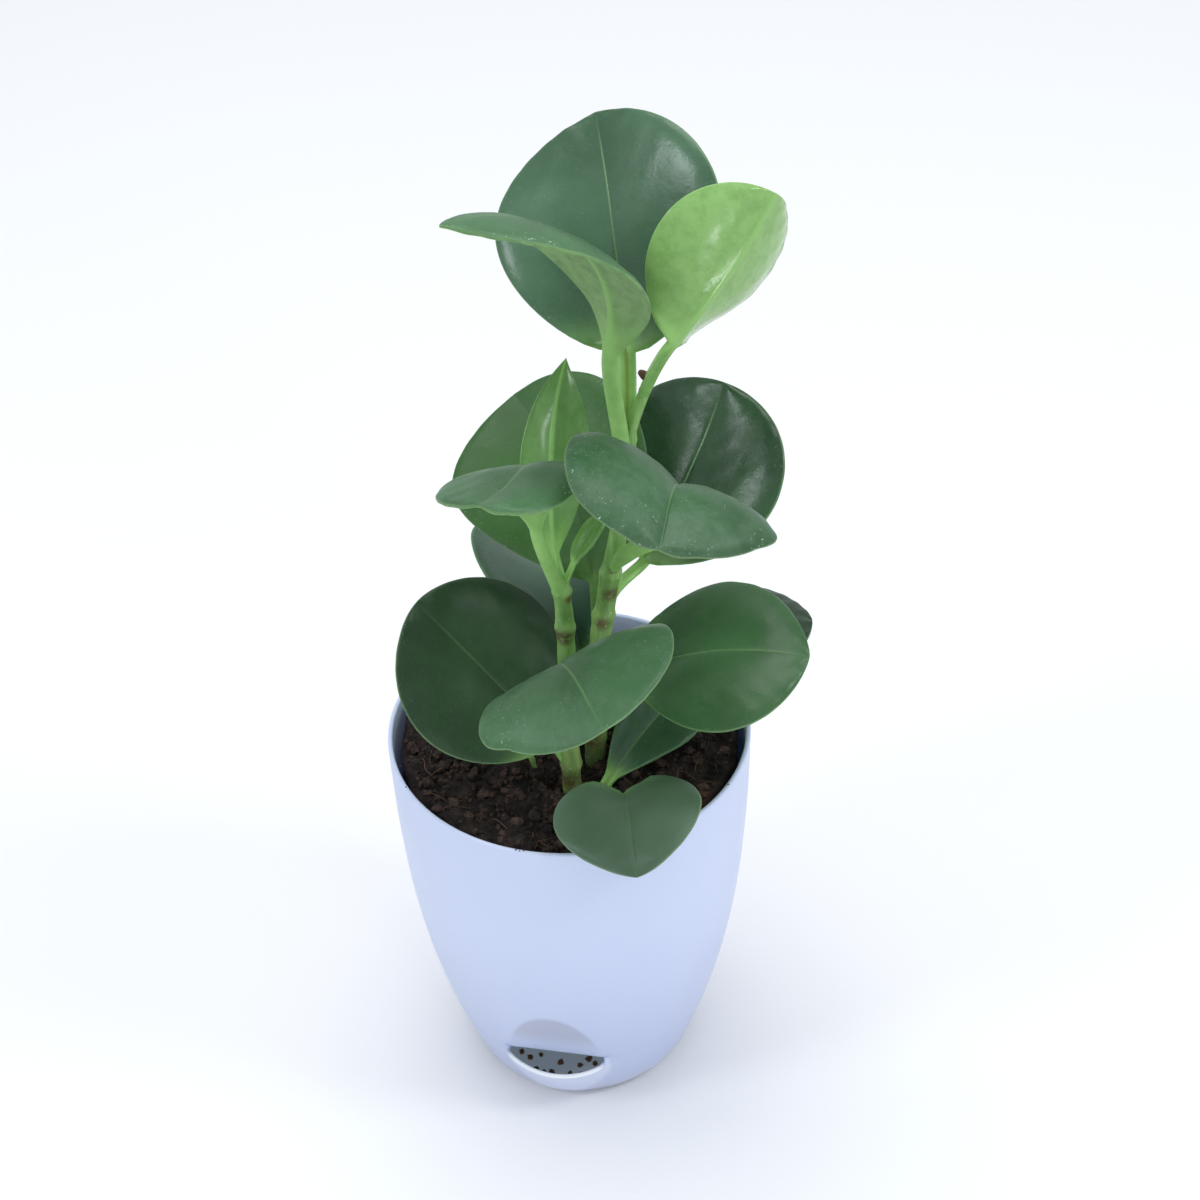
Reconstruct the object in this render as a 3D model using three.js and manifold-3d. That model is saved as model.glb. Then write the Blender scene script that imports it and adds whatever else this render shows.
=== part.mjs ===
// A potted peperomia: a round-leaved plant on two stems, in a tapered self-watering pot.
// Millimetres, +Z up. The origin is the centre of the pot's flat base and the fill mouth
// looks towards -Y.
import * as THREE from 'three';
import { mergeVertices } from 'three/addons/utils/BufferGeometryUtils.js';
import Module from 'manifold-3d';

const wasm = await Module();
wasm.setup();

// ---- driving dimensions ----

const gap = 0.3;                     // clearance between neighbouring pieces

const pot = {
  height: 135.5,
  baseRadius: 35.6,
  quarterRadius: 46.3,               // outer radius at a quarter of the height
  middleRadius: 52.9,
  threeQuarterRadius: 56.2,
  rimRadius: 57.5,
  baseEdge: 1.5,                     // chamfer of the foot
  wall: 2,
  floor: 2.5,
  steps: 9,
  sides: 48,
};

const mouth = {
  sillHeight: 27.8,                  // lower edge of the sunken face above the slot
  sillDistance: 41.9,                // from the pot's axis
  lean: 19,                          // the sunken face leans outwards as it rises, degrees
  lipRadius: 24.5,                   // plan radius of the pouch below the slot
  lipTopCentre: 23.5,                // distance of the pouch's centre from the pot's axis
  lipFootCentre: 11.1,
  lipFrontHeight: 22.2,
  lipCornerHeight: 26.8,             // where the lip meets the wall of the pot
  lipCornerDistance: 41.4,
  lipWall: 1.6,
  sides: 32,
};

const plate = {
  bottom: 30,
  thickness: 2,
  cupTopRadius: 12,
  cupFootRadius: 8,
  cupWall: 1.5,
  drainHoles: 10,
  drainRadius: 2,
  drainCircle: 27,
  drainSides: 8,
};

const soil = {
  level: 131,
  sideGap: 0.5,                      // to the wall of the pot
  wave: 1.1,                         // height of the waves of the surface
  ripples: { x: 0.21, y: 0.17, diagonal: 0.33 },
  sideSteps: 6,
  rings: 6,
  hollow: { x: 15, y: -20, depth: 2.5, radius: 7 },
};

const stemFoot = 112;                // the stems reach this low in the soil

const stems = {
  main_stem: {
    radius: 3.3,
    tipRadius: 1.5,
    points: [[9.8, -8.6, stemFoot], [9.9, -8.6, 131], [11.2, -8.3, 155], [12.8, -7.9, 180],
      [15, -7.4, 196], [17, -7, 209], [19.4, -6.6, 222], [21.2, -6.2, 236], [22.7, -5.8, 251],
      [23.3, -5.8, 258], [26, -6, 267], [29.3, -6.4, 277]],
    nodes: [141, 173, 190, 206, 248],     // heights of the rings that the stalks grow from
  },
  side_stem: {
    radius: 2.9,
    tipRadius: 2.3,
    points: [[5.3, -23, stemFoot], [5.3, -23, 131], [5.4, -23, 168], [5.6, -22.9, 192],
      [5.3, -23, 206], [4.8, -23.1, 216]],
    nodes: [142, 162, 197, 211],
  },
};

const stemRings = 28;
const stemSides = 10;
const nodeSwelling = 0.5;            // extra stem radius at a node
const nodeLength = 2.5;

const stalk = {
  radius: 1.9,
  topShare: 0.58,                    // a stalk is flatter above than below
  reach: 0.38,                       // how far its curve follows its direction at the stem
  endReach: 0.15,                    // the same at the blade
  rise: 0.3,                         // it leaves the stem a little upwards
  steps: 4,
  holeSteps: 8,
};

const blade = {
  thickness: 1.1,
  edge: 0.7,
  point: 0.5,                        // a round tip; more makes a pointed one
  channel: 35,                       // extra fold where the blade runs into its stalk, degrees
  channelShare: 0.18,                // the share of the blade that the channel fades over
  fullFoldWidth: 8,                  // half-width from which a blade has its whole fold
  thickShare: 0.22,                  // the stalk's thickness fades over this share of the blade
  stations: [0, 0.05, 0.12, 0.21, 0.33, 0.47, 0.61, 0.74, 0.85, 0.93, 0.985],
  across: [-1, -0.68, -0.34, 0, 0.34, 0.68, 1],
};

const colours = {
  potWhite: 0xc9d3ec,
  plateGrey: 0x8a949c,
  soilBrown: 0x3a3028,
  stemGreen: 0x77a25c,
  leafGreen: 0x3f6b45,
  youngGreen: 0x86b568,
};

// Each leaf: where its blade begins, the heading and pitch of its midrib there (degrees),
// how far the midrib bends down and sweeps sideways along the blade, the roll about the
// midrib and its change along the blade, the length and width, the fold and the curl of the
// two halves, the taper of the blade's foot, how pointed its tip is, how far the blade leans
// to its right, the share of the midrib that bends, where its stalk grows from, and how much
// the stalk rises there.
const leaves = {
  leaf_top_back: {
    base: [22, 0.5, 281], heading: 112, pitch: 73, bend: 39, sweep: -2, roll: 21, twist: 10,
    length: 69, width: 68, fold: 13, curl: -12, taper: 0.66, point: 0.64, stalkRadius: 2.2,
    stem: 'main_stem', height: 250, rise: 0,
  },
  leaf_top_left: {
    base: [20.5, -14, 290.5], heading: -139, pitch: 101, bend: 96, sweep: -1, roll: -16,
    twist: -2, length: 87, width: 48, fold: -4, curl: -10, curlLeft: -16, taper: 0.9, point: 0.93,
    lean: -0.08, bendTo: 0.93, stalkRadius: 2.4, stem: 'main_stem', height: 244,
  },
  leaf_top_right: {
    base: [37, -12, 294], heading: 31, pitch: 44, bend: -4, sweep: 24, roll: 87, twist: 12,
    length: 50, width: 53, fold: 5, curl: 45, curlLeft: 43, taper: 0.56, point: 0.48, lean: -0.08,
    young: true, stalkRadius: 1.8, stem: 'main_stem', height: 270,
  },
  leaf_middle_back: {
    base: [10, 0.5, 196], heading: 123, pitch: 68, bend: 52, sweep: 14, roll: 22, twist: 4,
    length: 64, width: 61, fold: 12, curl: -6, taper: 0.76, point: 0.55, lean: -0.08,
    stem: 'main_stem', height: 173,
  },
  leaf_lower_back: {
    base: [7, 0.5, 158], heading: 121, pitch: 33, bend: 71, sweep: -24, roll: 14, twist: -10,
    length: 65, width: 65, fold: 25, curl: 26, taper: 0.76, point: 0.47, stem: 'main_stem',
    height: 145,
  },
  leaf_middle_left: {
    base: [0.5, -31.5, 240], heading: -70, pitch: 118, bend: 106, sweep: -43, roll: -8, twist: -4,
    length: 62, width: 41, fold: 3, foldLeft: 12, curl: -22, curlLeft: -44, taper: 0.87,
    point: 0.41, lean: 0.09, bendTo: 0.63, stem: 'side_stem', height: 207, rise: 0,
  },
  leaf_middle_front: {
    base: [42.5, -32, 248.5], heading: -86, pitch: 92, bend: 108, sweep: -5, roll: 26, twist: -7,
    length: 54, width: 64, fold: 22, curl: -46, taper: 0.69, point: 0.53, bendTo: 0.82,
    stalkRadius: 2.6, stem: 'main_stem', height: 204, rise: 1.1,
  },
  leaf_middle_right: {
    base: [24.5, 5, 202], heading: 49, pitch: 48, bend: -6, sweep: 17, roll: -4, twist: 4,
    length: 59, width: 61, fold: 7, curl: -21, taper: 0.57, stem: 'main_stem', height: 194,
    rise: 1.2,
  },
  leaf_lower_front: {
    base: [4, -35.5, 178], heading: -65, pitch: 99, bend: 112, sweep: 12, roll: -11, twist: -15,
    length: 59, width: 65, fold: 0, curl: -23, taper: 0.66, point: 0.6, bendTo: 0.77,
    stem: 'side_stem', height: 162,
  },
  leaf_lower_left: {
    base: [-0.5, -23, 150.5], heading: 173, pitch: 50, bend: 6, sweep: -4, roll: 27, twist: -5,
    length: 61, width: 58, fold: 7, curl: -18, taper: 0.59, point: 0.58, stem: 'side_stem',
    height: 141,
  },
  leaf_lower_right: {
    base: [23.5, -1, 163], heading: -12, pitch: 43, bend: 56, sweep: 19, roll: -20, twist: 2,
    length: 57, width: 54, fold: 1, curl: -17, taper: 0.62, point: 0.62, stem: 'main_stem',
    height: 148,
  },
  leaf_rear_right: {
    base: [21, 11, 157.5], heading: 13, pitch: 36, bend: 44, sweep: -6, roll: 4, twist: 8,
    length: 57, width: 50, fold: -2, curl: -6, taper: 0.66, stem: 'main_stem', height: 139,
  },
  leaf_over_rim: {
    base: [22, -26.5, 133.5], heading: -75, pitch: 48, bend: 83, sweep: 3, roll: 1, twist: -14,
    length: 44, width: 46, fold: 17, curl: -24, taper: 0.7, point: 0.8, root: [21, -23, 116],
  },
  leaf_at_soil: {
    base: [16, -19.5, 132.5], heading: 62, pitch: 25, bend: 22, sweep: 1, roll: -28, twist: -12,
    length: 45, width: 26, fold: 9, curl: 8, taper: 0.95, point: 0.54, root: [13, -24, 118],
  },
  leaf_folded: {
    base: [2.5, -20.5, 223], heading: -73, pitch: 109, bend: -39, sweep: -26, roll: -15, twist: 8,
    length: 58, width: 22, fold: 26, foldLeft: 32, curl: -21, taper: 0.75, point: 1.11,
    lean: -0.17, young: true, stem: 'side_stem', height: 211,
  },
  leaf_bud: {
    base: [9, -24, 222.5], heading: 46, pitch: 61, bend: 27, sweep: -3, roll: 10, twist: 0,
    length: 17, width: 9, fold: 16, curl: -2, taper: 0.62, young: true, stalkRadius: 1.1,
    stem: 'side_stem', height: 210,
  },
};

const sprout = {
  points: [[-7.9, -16.3, 120], [-7.9, -16.3, 130], [-8.3, -16.6, 134], [-9, -17, 138]],
  radius: 1,
  tipRadius: 0.6,
  steps: 6,
  sides: 8,
};

// ---- shared helpers ----

const radians = (degrees) => THREE.MathUtils.degToRad(degrees);

const vector = (point) => new THREE.Vector3(...point);

// Integrals of the cosine and the sine of an angle that turns steadily from `start`.
function turning(start, turn, share) {
  if (Math.abs(turn) < 1e-6) {
    return { cos: share * Math.cos(start), sin: share * Math.sin(start) };
  }
  const end = start + turn * share;
  return {
    cos: (Math.sin(end) - Math.sin(start)) / turn,
    sin: (Math.cos(start) - Math.cos(end)) / turn,
  };
}

function solidOf(geometry) {
  const plain = geometry.clone();
  plain.deleteAttribute('normal');
  plain.deleteAttribute('uv');
  const merged = mergeVertices(plain, 1e-4);
  return new wasm.Manifold(new wasm.Mesh({
    numProp: 3,
    vertProperties: new Float32Array(merged.attributes.position.array),
    triVerts: new Uint32Array(merged.index.array),
  }));
}

function geometryOf(solid) {
  const mesh = solid.getMesh();
  const geometry = new THREE.BufferGeometry();
  geometry.setAttribute('position', new THREE.BufferAttribute(new Float32Array(mesh.vertProperties), 3));
  geometry.setIndex(Array.from(mesh.triVerts));
  return geometry;
}

// A closed solid through rings of points. Each ring runs along its upper half and back along
// its lower half, and the two halves are split into triangles alike.
function loft(rings) {
  const count = rings[0].length;
  const half = count / 2;
  const index = [];
  for (let ring = 0; ring < rings.length - 1; ring += 1) {
    for (let side = 0; side < count; side += 1) {
      const a = ring * count + side;
      const b = ring * count + ((side + 1) % count);
      const c = a + count;
      const d = b + count;
      if (side < half) index.push(a, b, d, a, d, c);
      else index.push(a, b, c, b, d, c);
    }
  }
  const last = (rings.length - 1) * count;
  for (let side = 0; side < half - 1; side += 1) {
    const below = count - 1 - side;
    index.push(side, below - 1, side + 1, side, below, below - 1);
    index.push(last + side, last + side + 1, last + below - 1, last + side, last + below - 1, last + below);
  }
  const geometry = new THREE.BufferGeometry();
  const positions = rings.flat().flatMap((point) => point.toArray());
  geometry.setAttribute('position', new THREE.Float32BufferAttribute(positions, 3));
  geometry.setIndex(index);
  return geometry;
}

// A round bar along a curve, with its own radius at each share of the way; `extra` makes it
// larger all round and longer at both ends.
function bar(curve, radiusAt, steps, sides, extra = 0) {
  const rings = [];
  let across = new THREE.Vector3(1, 0, 0);
  for (let step = 0; step <= steps; step += 1) {
    const share = step / steps;
    const centre = curve.getPoint(share);
    const along = curve.getTangent(share);
    across = across.clone().addScaledVector(along, -across.dot(along)).normalize();
    const beside = along.clone().cross(across);
    const radius = radiusAt(share, centre.z) + extra;
    if (step === 0) centre.addScaledVector(along, -extra);
    if (step === steps) centre.addScaledVector(along, extra);
    const ring = [];
    for (let side = 0; side < sides; side += 1) {
      const angle = (2 * Math.PI * side) / sides;
      ring.push(centre.clone()
        .addScaledVector(across, radius * Math.cos(angle))
        .addScaledVector(beside, radius * Math.sin(angle)));
    }
    rings.push(ring);
  }
  return loft(rings);
}

// ---- the pot ----

const potProfile = new THREE.CatmullRomCurve3([
  new THREE.Vector3(pot.baseRadius, 0, 0),
  new THREE.Vector3(pot.quarterRadius, 0, pot.height / 4),
  new THREE.Vector3(pot.middleRadius, 0, pot.height / 2),
  new THREE.Vector3(pot.threeQuarterRadius, 0, (3 * pot.height) / 4),
  new THREE.Vector3(pot.rimRadius, 0, pot.height),
]);

// Outer radius of the pot at a height, from the profile curve.
function potRadius(height) {
  let low = 0;
  let high = 1;
  for (let pass = 0; pass < 40; pass += 1) {
    const middle = (low + high) / 2;
    if (potProfile.getPoint(middle).z < height) low = middle;
    else high = middle;
  }
  return potProfile.getPoint(low).x;
}

function lathe(profile, sides) {
  const points = profile.map(([radius, height]) => new THREE.Vector2(radius, height));
  return new THREE.LatheGeometry(points, sides).rotateX(Math.PI / 2);
}

// A body of the pot's form from `bottom` to `top`, set in from its outside by `inset`.
function potForm(inset, bottom, top, edge) {
  const profile = [[0, bottom], [potRadius(bottom) - inset - edge, bottom]];
  for (let step = 0; step <= pot.steps; step += 1) {
    const height = bottom + edge + ((top - bottom - edge) * step) / pot.steps;
    profile.push([potRadius(height) - inset, height]);
  }
  profile.push([0, top]);
  return solidOf(lathe(profile, pot.sides));
}

// A block in front of the sunken face, from its sill up; `inset` moves the face inwards.
function faceBlock(inset) {
  const width = 80;
  const depth = 60;
  const height = 60;
  const block = new THREE.BoxGeometry(width, depth, height)
    .translate(0, -depth / 2, height / 2)
    .rotateX(radians(mouth.lean))
    .translate(0, inset - mouth.sillDistance, mouth.sillHeight);
  return solidOf(block).subtract(slab(0, mouth.sillHeight));
}

// Everything between two heights, wider than the pot.
function slab(bottom, top) {
  const width = 4 * pot.rimRadius;
  return solidOf(new THREE.BoxGeometry(width, width, top - bottom).translate(0, 0, (bottom + top) / 2));
}

// The pouch in front of the slot: a leaning bar whose level sections are circles.
function pouch(inset, bottom, top) {
  const lean = (mouth.lipTopCentre - mouth.lipFootCentre) / mouth.lipFrontHeight;
  const rings = [bottom, top].map((height) => {
    const centre = -mouth.lipFootCentre - lean * height;
    const ring = [];
    for (let side = 0; side < mouth.sides; side += 1) {
      const angle = (2 * Math.PI * side) / mouth.sides;
      const radius = mouth.lipRadius - inset;
      ring.push(new THREE.Vector3(radius * Math.cos(angle), centre + radius * Math.sin(angle), height));
    }
    return ring;
  });
  return solidOf(loft(rings));
}

// The room above the lip, whose edge dips from the wall towards the front.
function aboveLip() {
  const front = mouth.lipTopCentre + mouth.lipRadius;
  const dip = Math.atan2(mouth.lipCornerHeight - mouth.lipFrontHeight, front - mouth.lipCornerDistance);
  const size = 160;
  return solidOf(new THREE.BoxGeometry(size, size, size)
    .translate(0, 0, size / 2)
    .rotateX(dip)
    .translate(0, -mouth.lipCornerDistance, mouth.lipCornerHeight));
}

function potSolid() {
  const pouchTop = mouth.lipCornerHeight + 1;
  const outside = potForm(0, 0, pot.height, pot.baseEdge)
    .subtract(faceBlock(0))
    .add(pouch(0, 0, pouchTop).subtract(aboveLip()));
  const cavity = potForm(pot.wall, pot.floor, pot.height + 1, 0)
    .subtract(faceBlock(pot.wall));
  const slot = pouch(mouth.lipWall, pot.floor, mouth.sillHeight);
  return outside.subtract(cavity).subtract(slot);
}

// ---- inside the pot ----

function plateSolid() {
  const top = plate.bottom + plate.thickness;
  const radius = potRadius(plate.bottom) - pot.wall - gap;
  const cupFloor = pot.floor + gap;
  const disc = solidOf(lathe(
    [[0, plate.bottom], [radius, plate.bottom], [radius, top], [0, top]],
    pot.sides,
  ));
  const cup = solidOf(lathe(
    [[0, cupFloor], [plate.cupFootRadius, cupFloor], [plate.cupTopRadius, top], [0, top]],
    pot.sides,
  ));
  const cupRoom = solidOf(lathe(
    [
      [0, cupFloor + plate.cupWall],
      [plate.cupFootRadius - plate.cupWall, cupFloor + plate.cupWall],
      [plate.cupTopRadius - plate.cupWall, top + 1],
      [0, top + 1],
    ],
    pot.sides,
  ));
  let solid = disc.add(cup).subtract(cupRoom).subtract(faceBlock(pot.wall + gap));
  for (let hole = 0; hole < plate.drainHoles; hole += 1) {
    const angle = (2 * Math.PI * (hole + 0.5)) / plate.drainHoles;
    const length = 3 * plate.thickness;
    const drain = new THREE.CylinderGeometry(plate.drainRadius, plate.drainRadius, length, plate.drainSides)
      .rotateX(Math.PI / 2)
      .translate(plate.drainCircle * Math.cos(angle), plate.drainCircle * Math.sin(angle), plate.bottom);
    solid = solid.subtract(solidOf(drain));
  }
  return solid;
}

function soilLevel(x, y) {
  const { ripples } = soil;
  const waves = Math.sin(ripples.x * x + 0.8) * Math.cos(ripples.y * y - 0.4)
    + 0.6 * Math.sin(ripples.diagonal * (x + y));
  const distance = Math.hypot(x - soil.hollow.x, y - soil.hollow.y) / soil.hollow.radius;
  return soil.level + soil.wave * waves - soil.hollow.depth * Math.exp(-distance * distance);
}

function soilSolid() {
  const bottom = plate.bottom + plate.thickness + gap;
  const cupBottom = pot.floor + 2 * gap + plate.cupWall;
  const neck = plate.cupTopRadius - plate.cupWall - gap;
  const foot = plate.cupFootRadius - plate.cupWall - gap;
  const profile = [[0, cupBottom], [foot, cupBottom], [neck, bottom]];
  for (let step = 0; step <= soil.sideSteps; step += 1) {
    const height = bottom + ((soil.level - bottom) * step) / soil.sideSteps;
    profile.push([potRadius(height) - pot.wall - soil.sideGap, height]);
  }
  const rim = profile.at(-1)[0];
  for (let ring = soil.rings - 1; ring >= 0; ring -= 1) {
    profile.push([(rim * ring) / soil.rings, soil.level]);
  }
  const geometry = lathe(profile, pot.sides);
  const position = geometry.attributes.position;
  for (let vertex = 0; vertex < position.count; vertex += 1) {
    if (position.getZ(vertex) > soil.level - 0.01) {
      position.setZ(vertex, soilLevel(position.getX(vertex), position.getY(vertex)));
    }
  }
  return solidOf(geometry).subtract(faceBlock(pot.wall + gap));
}

// ---- stems ----

function stemCurve(stem) {
  return new THREE.CatmullRomCurve3(stem.points.map(vector));
}

function stemSolid(stem, extra = 0) {
  const radiusAt = (share, height) => {
    const taper = THREE.MathUtils.lerp(stem.radius, stem.tipRadius, share ** 2);
    const swell = stem.nodes.reduce(
      (sum, node) => sum + nodeSwelling * Math.exp(-(((height - node) / nodeLength) ** 2)),
      0,
    );
    return taper + swell;
  };
  return solidOf(bar(stemCurve(stem), radiusAt, stemRings, stemSides, extra));
}

// The stem's centre at a height.
function stemCentre(stem, height) {
  const curve = stemCurve(stem);
  const steps = 400;
  for (let step = 0; step < steps; step += 1) {
    const point = curve.getPoint(step / steps);
    if (point.z >= height) return point;
  }
  return curve.getPoint(1);
}

// ---- leaves ----

// The direction of the midrib at a share of the blade.
function course(leaf, share) {
  const heading = radians(leaf.heading + leaf.sweep * share);
  const pitch = radians(leaf.pitch - leaf.bend * Math.min(1, share / (leaf.bendTo ?? 1)));
  return new THREE.Vector3(
    Math.cos(pitch) * Math.cos(heading),
    Math.cos(pitch) * Math.sin(heading),
    Math.sin(pitch),
  );
}

// Place, forward, side and upward directions on the midrib at a share of the blade.
function midrib(leaf, share) {
  const steps = 40;
  const stride = (leaf.length * share) / steps;
  const point = vector(leaf.base);
  for (let step = 0; step < steps; step += 1) {
    point.addScaledVector(course(leaf, (share * (step + 0.5)) / steps), stride);
  }
  const forward = course(leaf, share);
  const facing = radians(leaf.heading + leaf.sweep * share);
  const level = new THREE.Vector3(Math.sin(facing), -Math.cos(facing), 0);
  const side = level.applyAxisAngle(forward, -radians(leaf.roll + leaf.twist * share));
  return { point, forward, side, up: side.clone().cross(forward) };
}

// Half-width of the blade: a round blade whose foot tapers into its stalk.
function halfWidth(leaf, share) {
  const point = leaf.point ?? blade.point;
  const shape = (x) => x ** leaf.taper * Math.max(0, 1 - x ** (2 * leaf.taper)) ** point;
  const widest = (1 / (1 + 2 * point)) ** (1 / (2 * leaf.taper));
  const round = (0.5 * leaf.width * shape(share)) / shape(widest);
  return Math.hypot(round, stalkRadius(leaf) * (1 - share) ** 2);
}

function stalkRadius(leaf) {
  return leaf.stalkRadius ?? stalk.radius;
}

// One ring of a leaf: the upper face from left to right and the lower face back.
function leafRing(leaf, frame, width, channel, spread, stalkShare) {
  const upper = [];
  const lower = [];
  const radius = stalkRadius(leaf);
  for (const across of blade.across) {
    const hand = Math.sign(across);
    const left = hand < 0;
    const fold = radians((left ? leaf.foldLeft ?? leaf.fold : leaf.fold) + channel) * spread;
    const curl = radians(left ? leaf.curlLeft ?? leaf.curl : leaf.curl) * (1 - stalkShare);
    const reach = turning(fold, curl, Math.abs(across));
    const slope = hand * (fold + curl * Math.abs(across));
    const room = width * (1 + (leaf.lean ?? 0) * hand * (1 - stalkShare));
    const middle = frame.point.clone()
      .addScaledVector(frame.side, room * hand * reach.cos)
      .addScaledVector(frame.up, room * reach.sin);
    const outward = frame.up.clone().multiplyScalar(Math.cos(slope))
      .addScaledVector(frame.side, -Math.sin(slope));
    const roundness = Math.sqrt(Math.max(0, 1 - across * across));
    const thin = THREE.MathUtils.lerp(blade.thickness, blade.edge, across * across) / 2;
    const thick = radius * roundness;
    const above = Math.max(blade.edge / 2, THREE.MathUtils.lerp(thin, thick * stalk.topShare, stalkShare));
    const below = Math.max(blade.edge / 2, THREE.MathUtils.lerp(thin, thick, stalkShare));
    upper.push(middle.clone().addScaledVector(outward, above));
    lower.unshift(middle.clone().addScaledVector(outward, -below));
  }
  return [...upper, ...lower];
}

// The line of a leaf's stalk, from the middle of its stem or from the soil to its blade.
function stalkCurve(leaf) {
  const end = midrib(leaf, 0);
  const start = leaf.root ? vector(leaf.root) : stemCentre(stems[leaf.stem], leaf.height);
  const distance = end.point.distanceTo(start);
  const leave = new THREE.Vector3(0, 0, 1);
  if (leaf.stem) {
    const direct = end.point.clone().sub(start).normalize();
    leave.multiplyScalar(leaf.rise ?? stalk.rise).add(direct).normalize();
  }
  return new THREE.CubicBezierCurve3(
    start,
    start.clone().addScaledVector(leave, stalk.reach * distance),
    end.point.clone().addScaledVector(end.forward, -stalk.endReach * distance),
    end.point,
  );
}

function leafSolid(leaf) {
  const rings = [];
  const curve = stalkCurve(leaf);
  const foot = midrib(leaf, 0);
  for (let step = 0; step < stalk.steps; step += 1) {
    const share = step / stalk.steps;
    const forward = curve.getTangent(share);
    const side = foot.side.clone().addScaledVector(forward, -foot.side.dot(forward)).normalize();
    const frame = { point: curve.getPoint(share), forward, side, up: side.clone().cross(forward) };
    rings.push(leafRing(leaf, frame, stalkRadius(leaf), 0, 0, 1));
  }
  for (const share of blade.stations) {
    const width = halfWidth(leaf, share);
    const channel = blade.channel * Math.exp(-share / blade.channelShare);
    const spread = Math.min(1, Math.max(0, (width - stalkRadius(leaf)) / blade.fullFoldWidth));
    const stalkShare = Math.max(0, 1 - share / blade.thickShare) ** 2;
    rings.push(leafRing(leaf, midrib(leaf, share), width, channel, spread, stalkShare));
  }
  let solid = solidOf(loft(rings));
  if (leaf.stem) solid = solid.subtract(stemSolid(stems[leaf.stem], gap));
  return solid;
}

// ---- the object ----

const plant = new THREE.Group();

function addPiece(name, solid, colour, roughness) {
  const material = new THREE.MeshStandardMaterial({ color: colour, roughness, metalness: 0 });
  const mesh = new THREE.Mesh(geometryOf(solid), material);
  mesh.name = name;
  plant.add(mesh);
}

addPiece('pot', potSolid(), colours.potWhite, 0.4);
addPiece('drain_plate', plateSolid(), colours.plateGrey, 0.5);

let earth = soilSolid();
for (const [name, stem] of Object.entries(stems)) {
  earth = earth.subtract(stemSolid(stem, gap));
  addPiece(name, stemSolid(stem), colours.stemGreen, 0.5);
}

const sproutCurve = new THREE.CatmullRomCurve3(sprout.points.map(vector));
const sproutRadius = (share) => THREE.MathUtils.lerp(sprout.radius, sprout.tipRadius, share);
const sproutSolid = (extra) => solidOf(bar(sproutCurve, sproutRadius, sprout.steps, sprout.sides, extra));
earth = earth.subtract(sproutSolid(gap));
addPiece('sprout', sproutSolid(0), colours.youngGreen, 0.5);

for (const [name, leaf] of Object.entries(leaves)) {
  if (leaf.root) {
    const hole = bar(stalkCurve(leaf), () => stalkRadius(leaf), stalk.holeSteps, stemSides, 2 * gap);
    earth = earth.subtract(solidOf(hole));
  }
  addPiece(name, leafSolid(leaf), leaf.young ? colours.youngGreen : colours.leafGreen, 0.35);
}
addPiece('soil', earth, colours.soilBrown, 1);

export default plant;
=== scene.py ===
import math
import random

import bpy
from mathutils import Matrix, Vector, noise


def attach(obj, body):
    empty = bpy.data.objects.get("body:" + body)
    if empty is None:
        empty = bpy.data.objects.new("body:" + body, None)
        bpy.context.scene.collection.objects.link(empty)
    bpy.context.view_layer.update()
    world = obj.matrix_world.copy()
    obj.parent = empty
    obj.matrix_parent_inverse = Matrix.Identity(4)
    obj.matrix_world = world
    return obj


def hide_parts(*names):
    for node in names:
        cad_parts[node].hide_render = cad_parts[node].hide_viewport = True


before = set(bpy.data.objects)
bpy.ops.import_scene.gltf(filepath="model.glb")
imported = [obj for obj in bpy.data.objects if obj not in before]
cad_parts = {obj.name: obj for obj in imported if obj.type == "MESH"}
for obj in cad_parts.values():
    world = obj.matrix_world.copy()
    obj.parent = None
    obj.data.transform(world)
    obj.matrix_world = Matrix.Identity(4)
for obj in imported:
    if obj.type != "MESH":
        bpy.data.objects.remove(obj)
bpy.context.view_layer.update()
mm = 0.001
mergeGap = 0.01        # points of a seam closer than this, in mm, become one
print("frame loaded:", len(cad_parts), "nodes")


# ---- small helpers ----

def smooth(low, high, value):
    share = min(1, max(0, (value - low) / (high - low)))
    return share * share * (3 - 2 * share)


def mixed(a, b, share):
    return a + (b - a) * share


def deselect():
    bpy.ops.object.select_all(action="DESELECT")


def named(name):
    piece = bpy.context.object
    piece.name = piece.data.name = name
    return piece


def setMode(mode):
    bpy.ops.object.mode_set(mode=mode)


def editAll():
    setMode("EDIT")
    bpy.ops.mesh.select_all(action="SELECT")


def leaveEdit():
    bpy.ops.mesh.select_all(action="SELECT")
    bpy.ops.mesh.normals_make_consistent(inside=False)
    setMode("OBJECT")


# the smooth curve from b to c that a and d steer, at a share of its way
def cubic(a, b, c, d, share):
    return 0.5 * (2 * b + (c - a) * share + (2 * a - 5 * b + 4 * c - d) * share ** 2
                  + (3 * b - 3 * c + d - a) * share ** 3)


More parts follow.
